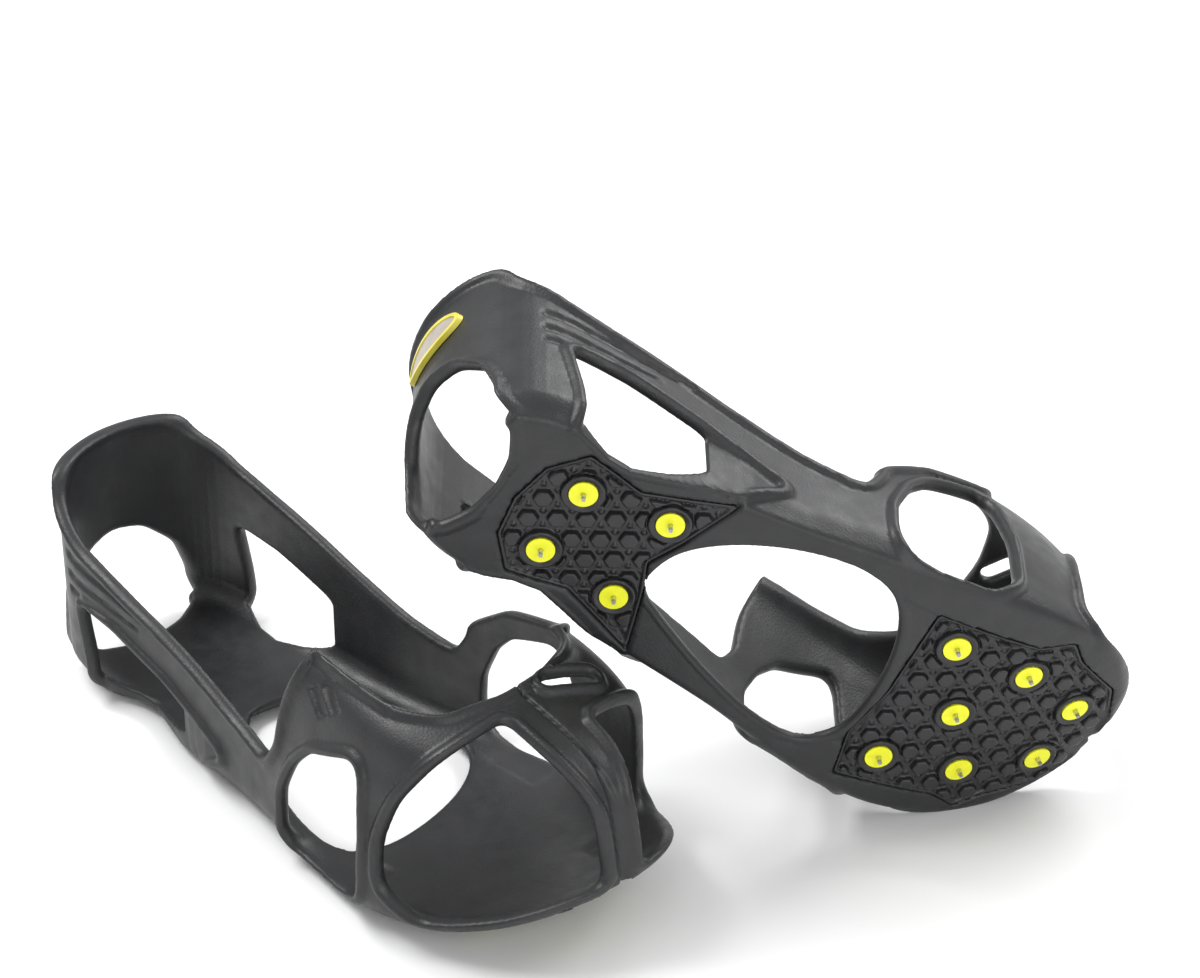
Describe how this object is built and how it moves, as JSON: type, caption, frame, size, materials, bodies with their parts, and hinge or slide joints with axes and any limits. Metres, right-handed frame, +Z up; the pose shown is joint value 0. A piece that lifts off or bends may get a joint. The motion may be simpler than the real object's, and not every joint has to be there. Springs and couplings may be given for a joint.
{
  "type": "shoe ice cleats",
  "caption": "Pair of stretch-on rubber overshoes with steel-pin studs in yellow collars, one standing and its mirror twin lying on its side toe down.",
  "frame": {"origin": "middle of the pair's common bounding box, on the floor that the studs stand on", "axes": "+X from the standing cleat's heel to its toe, +Y to its inner side, +Z up"},
  "size_m": [0.3758, 0.2872, 0.2066],
  "materials": {
    "harness_rubber": "satin moulded rubber with a fine pebbled grain",
    "tread_rubber": "matte moulded rubber with hexagonal lugs",
    "yellow_plastic": "satin lemon yellow plastic",
    "stud_steel": "bright turned steel",
    "carbide": "ground tungsten carbide",
    "badge_yellow": "satin yellow rim",
    "badge_grey": "blank warm grey plate"
  },
  "bodies": {
    "standing_toe": {"standing_harness_toe": "harness_rubber", "standing_forefoot_tread_pad": "tread_rubber", "standing_forefoot_stud_collars": "yellow_plastic", "standing_forefoot_stud_pins": "stud_steel", "standing_forefoot_carbide_tips": "carbide"},
    "standing_mid": {"standing_harness_mid": "harness_rubber", "standing_heel_tread_pad": "tread_rubber", "standing_heel_stud_collars": "yellow_plastic", "standing_heel_stud_pins": "stud_steel", "standing_heel_carbide_tips": "carbide"},
    "standing_cup": {"standing_harness_heel_cup": "harness_rubber", "standing_heel_badge_rim": "badge_yellow", "standing_heel_badge_plate": "badge_grey"},
    "leaning_toe": {"leaning_harness_toe": "harness_rubber", "leaning_forefoot_tread_pad": "tread_rubber", "leaning_forefoot_stud_collars": "yellow_plastic", "leaning_forefoot_stud_pins": "stud_steel", "leaning_forefoot_carbide_tips": "carbide"},
    "leaning_mid": {"leaning_harness_mid": "harness_rubber", "leaning_heel_tread_pad": "tread_rubber", "leaning_heel_stud_collars": "yellow_plastic", "leaning_heel_stud_pins": "stud_steel", "leaning_heel_carbide_tips": "carbide"},
    "leaning_cup": {"leaning_harness_heel_cup": "harness_rubber", "leaning_heel_badge_rim": "badge_yellow", "leaning_heel_badge_plate": "badge_grey"}
  },
  "joints": [
    {"name": "standing_ball_flex", "type": "hinge", "parent": "standing_toe", "child": "standing_mid", "pos_m": [-0.02771, -0.08284, 0.041], "axis": [0, 1, 0], "range_deg": [0, 25], "stiffness_Nm_per_rad": 4},
    {"name": "standing_heel_pull", "type": "hinge", "parent": "standing_mid", "child": "standing_cup", "pos_m": [-0.15271, -0.08284, 0.004], "axis": [0, -1, 0], "range_deg": [0, 20], "stiffness_Nm_per_rad": 2.5},
    {"name": "pair_lift", "type": "slide", "parent": "standing_toe", "child": "leaning_toe", "axis": [0, 0, 1], "range_m": [0, 0.25]},
    {"name": "leaning_ball_flex", "type": "hinge", "parent": "leaning_toe", "child": "leaning_mid", "pos_m": [0.08677, 0.03262, 0.09953], "axis": [-0.406, -0.3432, -0.847], "range_deg": [0, 25], "stiffness_Nm_per_rad": 4},
    {"name": "leaning_heel_pull", "type": "hinge", "parent": "leaning_mid", "child": "leaning_cup", "pos_m": [0.04218, -0.07198, 0.16329], "axis": [0.406, 0.3432, 0.847], "range_deg": [0, 20], "stiffness_Nm_per_rad": 2.5}
  ]
}
